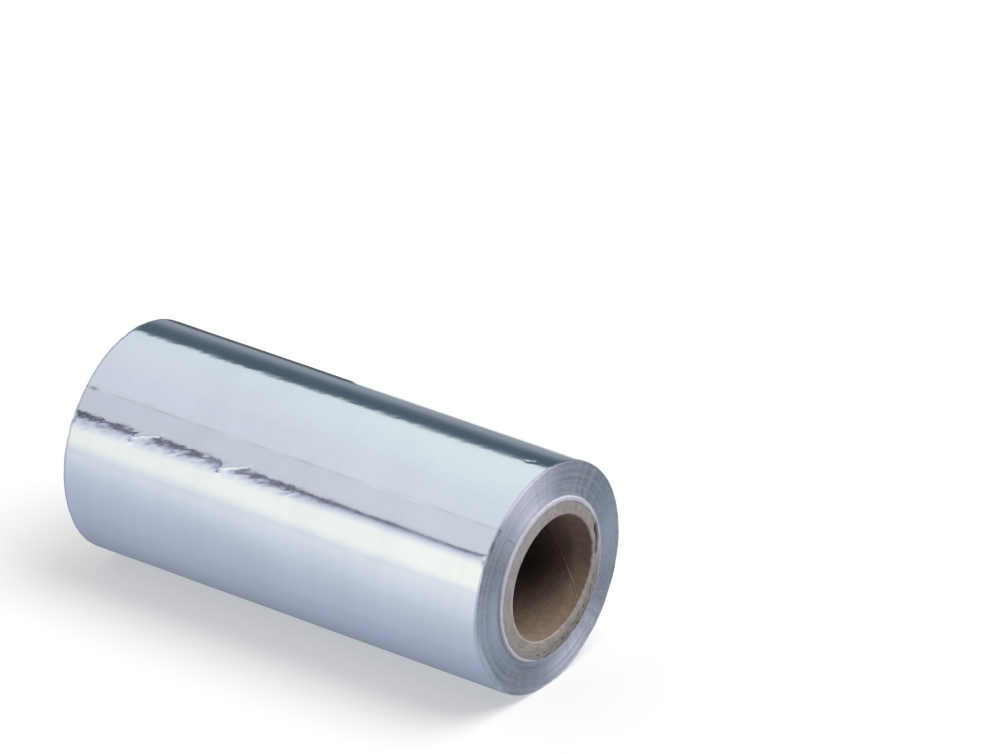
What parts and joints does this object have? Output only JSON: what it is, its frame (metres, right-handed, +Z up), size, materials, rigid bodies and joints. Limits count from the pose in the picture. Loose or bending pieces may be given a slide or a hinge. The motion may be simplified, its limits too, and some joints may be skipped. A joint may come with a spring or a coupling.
{
  "type": "hair foil roll",
  "caption": "Strip of thin aluminium foil wound into a roll on a spiral-ply paper core, lying on its side, for folding round strands of hair.",
  "frame": {"origin": "middle of the small flat that the roll rests on, half way along the roll", "axes": "+X along the roll, towards the end where the core's plies have parted; +Z up, square to the resting flat; +Y away from the foil's loose end"},
  "size_m": [0.132, 0.0613, 0.0611],
  "materials": {
    "foil": "gloss",
    "core_paper": "matte"
  },
  "bodies": {
    "root": {"foil_winding": "foil", "paper_core": "core_paper"}
  },
  "joints": []
}
